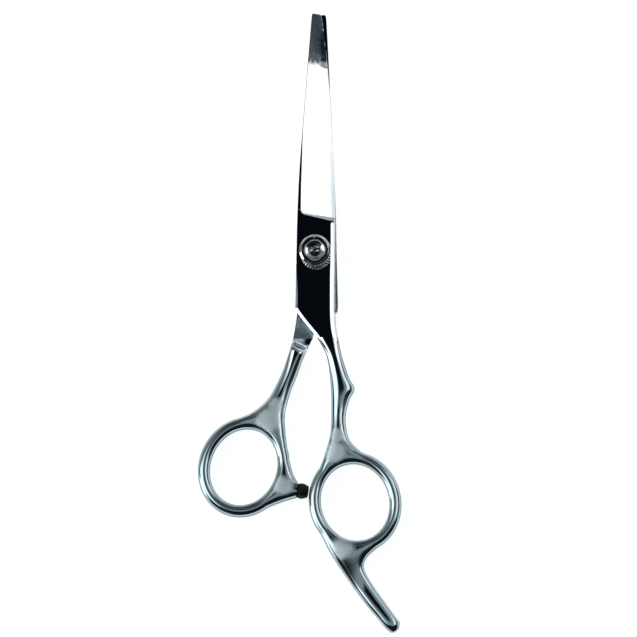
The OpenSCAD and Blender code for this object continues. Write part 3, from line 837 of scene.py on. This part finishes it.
def finished(name, mirror, polish, satin, edge_tint, rough, worn_rough, grain, bump, worn_bump,
             mottle, depth):
    """Steel whose colour, roughness and grain follow the finish marked on each point of the mesh,
    from 0 for a mirror through PLAIN_POLISH to 1 for satin. The colour at 1 is satin steel's on the
    blades; on the handles it is far lighter, a painted highlight on the satin webs. grain and mottle
    are noise scales per millimetre, and depth is the mottle's height."""
    m, nodes, links, shader = material(name)
    coords = nodes.new("ShaderNodeTexCoord")
    mark = nodes.new("ShaderNodeAttribute")
    mark.attribute_name = "finish_and_sheen"
    tone = noise(nodes, links, coords, 0.35, 4)
    drift = ramp(nodes, links, tone.outputs["Fac"], [(0.3, (0.9, 0.9, 0.9)), (0.7, (1.0, 1.0, 1.0))])
    tinted = nodes.new("ShaderNodeMix")
    tinted.data_type = "RGBA"
    tinted.blend_type = "MULTIPLY"
    tinted.inputs["Factor"].default_value = 1.0
    # Colour by finish; at the satin end of the handles this is a painted highlight, not the steel's own tone
    links.new(ramp(nodes, links, mark.outputs["Fac"], [(0, mirror), (PLAIN_POLISH, polish), (1, satin)])
              .outputs["Color"], tinted.inputs["A"])
    links.new(drift.outputs["Color"], tinted.inputs["B"])
    links.new(tinted.outputs["Result"], shader.inputs["Base Color"])
    fine = noise(nodes, links, coords, grain, 3)
    uneven = scaled(nodes, links, fine.outputs["Fac"], 0.3, 0.7, 0.8, 1.2)
    base = scaled(nodes, links, mark.outputs["Fac"], 0.0, 1.0, rough, worn_rough)
    product = nodes.new("ShaderNodeMath")
    product.operation = "MULTIPLY"
    links.new(base.outputs["Result"], product.inputs[0])
    links.new(uneven.outputs["Result"], product.inputs[1])
    links.new(product.outputs["Value"], shader.inputs["Roughness"])
    # Broad unevenness under a fine grain
    broad = noise(nodes, links, coords, mottle, 2)
    soft = nodes.new("ShaderNodeBump")
    soft.inputs["Distance"].default_value = depth * MM
    links.new(scaled(nodes, links, mark.outputs["Fac"], 0.0, 1.0, 0.0, worn_bump).outputs["Result"],
              soft.inputs["Strength"])
    links.new(broad.outputs["Fac"], soft.inputs["Height"])
    relief = nodes.new("ShaderNodeBump")
    relief.inputs["Distance"].default_value = 0.01 * MM
    links.new(scaled(nodes, links, mark.outputs["Fac"], 0.0, 1.0, 0.0, bump).outputs["Result"],
              relief.inputs["Strength"])
    links.new(fine.outputs["Fac"], relief.inputs["Height"])
    links.new(soft.outputs["Normal"], relief.inputs["Normal"])
    links.new(relief.outputs["Normal"], shader.inputs["Normal"])
    shader.inputs["Metallic"].default_value = 1.0
    shader.inputs["Specular Tint"].default_value = (*edge_tint, 1)
    return m


def dress(piece, m):
    """Gives a new piece its material."""
    piece.data.materials.clear()
    piece.data.materials.append(m)


def dress_node(name, m):
    """Gives a CAD node its material."""
    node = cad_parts[name]
    for s in node.material_slots:
        s.material = m
    if not node.material_slots:
        node.data.materials.append(m)


def finish_and_sheen_of_handle(piece, satin_and_sheen_spots):
    """How rough a handle is at each point: a mirror next to the seam, polished on its rounds and
    satin on the broad flats, each an (x, y, radius). The satin spots also take the lighter satin
    colour: a painted highlight on the webs, brightest at each spot's centre."""
    attribute = piece.data.attributes.new("finish_and_sheen", "FLOAT", "POINT")
    values = []
    for v in piece.data.vertices:
        x, y = v.co.x / MM, v.co.y / MM
        # Satin finish, and with it a painted highlight, fading out from each spot's centre
        satin = max(blend(1.6 - math.hypot(x - sx, y - sy) / r) for sx, sy, r in satin_and_sheen_spots)
        values.append(max(satin, PLAIN_POLISH * blend((SEAM_Y - 3 - y) / 8)))
    attribute.data.foreach_set("value", values)


# ---------------------------------------------------------------- build
finger_handle = handle("finger_handle_forged", FINGER_RING, FINGER_SHANK, (122, 62), FINGER_TAIL, (207, 282),
                       FINGER_TIP, 1, 1.7, "finger_half", ["finger_handle"])
thumb_handle = handle("thumb_handle_forged", THUMB_RING, THUMB_SHANK, (117, 41), THUMB_TAIL, (386, 322),
                      None, -1, 0, "thumb_half", ["thumb_handle"])
# Satin spots on the webs and next to the seam; each is also a painted highlight through the lighter satin
# colour
finish_and_sheen_of_handle(finger_handle, [(5.4, -56.2, 3.0), (6.0, -51.6, 2.0), (7.6, -82.8, 2.9)])
finish_and_sheen_of_handle(thumb_handle, [(-13.0, -47.0, 3.2), (-10.8, -43.4, 2.4), (-8.8, -65.6, 2.5),
                                (-5.5, -24, 2.2)])

finger_blade = blade("finger_blade_ground", FINGER_EDGE, FINGER_BACK, False, "finger_half",
                     ["finger_blade"], -2)
cut(finger_blade, [cutter(*lathe([(3.0, 0), (3.0, 9)], 96)),
                   cutter(*lathe([(4.55, 2), (4.55, UPPER_FACE + 0.35)], 96))])
thumb_blade = blade("thumb_blade_ground", THUMB_EDGE, THUMB_BACK, True, "thumb_half", ["thumb_blade"], -19)
cut(thumb_blade, [cutter(*lathe([(3.55, -1), (3.55, 1.0)], 96)),
                  cutter(*lathe([(2.02, 0.5), (2.02, 4)], 64))])

finish_of_blade(finger_blade, True)
finish_of_blade(thumb_blade, False)

dial = tension_dial()
pin = click_pin()
cap_screw = dial_screw()
rear_screw = pivot_screw()
stop = bumper()

blade_steel = finished("blade_steel", mirror=(0.80, 0.82, 0.84), polish=(0.74, 0.77, 0.79),
                       satin=(0.33, 0.40, 0.46), edge_tint=(0.8, 0.8, 0.8), rough=0.03,
                       worn_rough=0.30, grain=7, bump=0.4, worn_bump=1.0, mottle=1.1, depth=0.07)
# The handles' satin colour is far lighter than their polish: a painted highlight on the satin webs
handle_steel = finished("handle_steel", mirror=(0.80, 0.82, 0.84), polish=(0.51, 0.61, 0.635),
                        satin=(0.84, 0.92, 0.94), edge_tint=(0.24, 0.28, 0.30), rough=0.025,
                        worn_rough=0.33, grain=4, bump=0.1, worn_bump=0.5, mottle=0.7, depth=0.04)
chrome = polished("dial_chrome", (0.60, 0.61, 0.62), (0.70, 0.71, 0.72), (0.02, 0.045), 7,
                  (1, 1, 1), 0.06)
screw_steel = polished("screw_steel", (0.46, 0.45, 0.43), (0.56, 0.55, 0.53), (0.05, 0.1), 8,
                       (1, 1, 0.4), 0.15)
spring_steel = polished("spring_steel", (0.45, 0.46, 0.48), (0.58, 0.59, 0.60), (0.2, 0.34), 5,
                        (1, 1, 1), 0.4)
brass = polished("bushing_brass", (0.52, 0.40, 0.24), (0.68, 0.55, 0.36), (0.16, 0.3), 6, (1, 1, 1), 0.3)
washer_plastic = soft_finish("washer_plastic", (0.74, 0.73, 0.69), (0.86, 0.85, 0.82), (0.45, 0.6), 3, 0.2)
rubber = soft_finish("bumper_rubber", (0.004, 0.004, 0.006), (0.010, 0.010, 0.014), (0.5, 0.68), 5, 0.6)
rubber.node_tree.nodes["Principled BSDF"].inputs["Specular IOR Level"].default_value = 0.25

for piece, look in (
        (finger_handle, handle_steel), (thumb_handle, handle_steel), (finger_blade, blade_steel),
        (thumb_blade, blade_steel), (dial, chrome), (pin, brass), (cap_screw, screw_steel),
        (rear_screw, screw_steel), (stop, rubber)):
    dress(piece, look)
for node, look in (
        ("pivot_bushing", brass), ("blade_washer", washer_plastic), ("thrust_washer", washer_plastic),
        ("spring_washer", spring_steel), ("click_plate", spring_steel), ("bumper_stud", screw_steel)):
    dress_node(node, look)


# ---------------------------------------------------------------- floor, light and camera
def make_floor():
    """A plain white floor that glows a little, so that it stays white under the dark sky."""
    half = 3.0
    mesh = bpy.data.meshes.new("floor")
    corners = [(-half, -half, 0), (half, -half, 0), (half, half, 0), (-half, half, 0)]
    mesh.from_pydata(corners, [], [(0, 1, 2, 3)])
    floor = bpy.data.objects.new("floor", mesh)
    floor.location.z = cad_low.z - 0.00005
    bpy.context.scene.collection.objects.link(floor)
    m, nodes, links, shader = material("floor_paper")
    coords = nodes.new("ShaderNodeTexCoord")
    grain = noise(nodes, links, coords, 0.4, 3)
    greys = [(0.3, (0.50, 0.50, 0.50)), (0.7, (0.54, 0.54, 0.54))]
    links.new(ramp(nodes, links, grain.outputs["Fac"], greys).outputs["Color"],
              shader.inputs["Base Color"])
    shader.inputs["Roughness"].default_value = 1.0
    shader.inputs["Specular IOR Level"].default_value = 0.0
    shader.inputs["Emission Color"].default_value = (1, 1, 1, 1)
    shader.inputs["Emission Strength"].default_value = 0.86
    mesh.materials.append(m)


def make_world():
    """A studio as a sky: bright panels on a dark room, placed in degrees from straight up."""
    world = bpy.data.worlds.new("studio")
    bpy.context.scene.world = world
    world.use_nodes = True
    nodes, links = world.node_tree.nodes, world.node_tree.links
    nodes.clear()
    out = nodes.new("ShaderNodeOutputWorld")
    back = nodes.new("ShaderNodeBackground")
    links.new(back.outputs["Background"], out.inputs["Surface"])
    coords = nodes.new("ShaderNodeTexCoord")
    parts = nodes.new("ShaderNodeSeparateXYZ")
    links.new(coords.outputs["Generated"], parts.inputs["Vector"])

    def maths(operation, a, b=None):
        m = nodes.new("ShaderNodeMath")
        m.operation = operation
        for slot, value in enumerate((a, b)):
            if value is None:
                continue
            if isinstance(value, (int, float)):
                m.inputs[slot].default_value = value
            else:
                links.new(value, m.inputs[slot])
        return m.outputs["Value"]

    x, y, z = (parts.outputs[k] for k in "XYZ")
    height = maths("MINIMUM", maths("MAXIMUM", z, -1.0), 1.0)
    off_top = maths("MULTIPLY", maths("ARCCOSINE", height), 180 / math.pi)
    squares = maths("ADD", maths("MULTIPLY", x, x), maths("MULTIPLY", y, y))
    flat = maths("MAXIMUM", maths("SQRT", squares), 1e-4)
    u = maths("DIVIDE", maths("MULTIPLY", off_top, x), flat)
    v = maths("DIVIDE", maths("MULTIPLY", off_top, y), flat)

    def step(value, edge, soft):
        m = nodes.new("ShaderNodeMapRange")
        m.interpolation_type = "SMOOTHSTEP"
        m.inputs["From Min"].default_value = edge - soft
        m.inputs["From Max"].default_value = edge + soft
        links.new(value, m.inputs["Value"])
        return m.outputs["Result"]

    def panel(u0, u1, v0, v1, soft):
        """1 inside a rectangle of the sky, in degrees from straight up along X and Y."""
        inside = maths("MULTIPLY", step(u, u0, soft), maths("SUBTRACT", 1.0, step(u, u1, soft)))
        inside = maths("MULTIPLY", inside, step(v, v0, soft))
        return maths("MULTIPLY", inside, maths("SUBTRACT", 1.0, step(v, v1, soft)))

    dark, white, warm = (0.010, 0.015, 0.019), (1.0, 1.0, 1.0), (0.95, 1.0, 0.95)
    cool, slate = (0.86, 0.96, 1.0), (0.70, 0.86, 1.0)
    total = None
    # Each panel's sides and softness, its colour and its strength; the first is the whole room
    for mask, colour, strength in (
            (panel(-400, 400, -400, 400, 1), dark, 1.0),
            (panel(11, 28, 1, 22, 2.5), white, 1.45),
            (panel(-12, 11, -3, 16, 3), cool, 0.38),
            (panel(-44, -12, -6, 12, 3), cool, 2.1),
            (panel(-78, -45, -25, 1, 4), white, 3.0),
            (panel(-150, -78, -34, 4, 6), cool, 0.55),
            (panel(31, 45, -10, 14, 4), slate, 0.13),
            (panel(45, 58, -10, 14, 3), slate, 0.06),
            (panel(58, 90, -12, 14, 4), slate, 0.32),
            (panel(-80, -16, 14, 37, 4), warm, 0.24),
            (panel(-112, -34, 37, 60, 6), cool, 0.6),
            (panel(-16, 1, 24, 56, 4), slate, 0.12),
            (panel(1, 17, 26, 56, 4), cool, 0.22),
            (panel(17, 62, 25, 60, 5), cool, 0.62),
            (panel(62, 140, 14, 60, 8), cool, 0.75),
            (panel(-112, -32, 60, 140, 6), cool, 1.1),
            (panel(-32, 60, 58, 140, 8), cool, 0.6),
            (panel(60, 140, 60, 140, 8), cool, 1.5),
            (panel(-150, -80, 4, 37, 6), cool, 0.42),
            (panel(-116, -60, -62, -31, 6), cool, 0.75),
            (panel(-60, -20, -82, -38, 8), slate, 0.16)):
        tint = nodes.new("ShaderNodeMix")
        tint.data_type = "RGBA"
        tint.inputs["A"].default_value = (0, 0, 0, 1)
        tint.inputs["B"].default_value = tuple(c * strength for c in colour) + (1,)
        links.new(mask, tint.inputs["Factor"])
        if total is None:
            total = tint.outputs["Result"]
        else:
            add = nodes.new("ShaderNodeMix")
            add.data_type = "RGBA"
            add.blend_type = "ADD"
            add.inputs["Factor"].default_value = 1.0
            links.new(total, add.inputs["A"])
            links.new(tint.outputs["Result"], add.inputs["B"])
            total = add.outputs["Result"]
    # Faces that point straight up reflect this dark patch to the camera
    overhead = panel(-7.5, 1.5, 4.5, 14, 1.2)
    shade = nodes.new("ShaderNodeMix")
    shade.data_type = "RGBA"
    shade.inputs["B"].default_value = (0.002, 0.003, 0.005, 1)
    links.new(overhead, shade.inputs["Factor"])
    links.new(total, shade.inputs["A"])
    links.new(shade.outputs["Result"], back.inputs["Color"])
    back.inputs["Strength"].default_value = 1.0


def make_camera():
    """Far above and nearly straight down, leaning towards the handles and a little to +X."""
    tilt, side = math.radians(9), math.radians(3)
    target = Vector((0.0007, -0.01833, 0.0025))
    back = Vector((math.sin(side), -math.sin(tilt), 1)).normalized()
    distance = 2.5
    view_height = 0.1773
    data = bpy.data.cameras.new("camera")
    data.sensor_width = 36
    data.lens = data.sensor_width * distance / view_height
    data.clip_start, data.clip_end = 0.05, 20
    camera = bpy.data.objects.new("camera", data)
    bpy.context.scene.collection.objects.link(camera)
    right = Vector((0, 1, 0)).cross(back).normalized()
    up = back.cross(right)
    facing = Matrix((right, up, back)).transposed().to_4x4()
    camera.matrix_world = Matrix.Translation(target + back * distance) @ facing
    bpy.context.scene.camera = camera


make_floor()
make_world()
make_camera()
bpy.context.scene.view_settings.view_transform = "Standard"
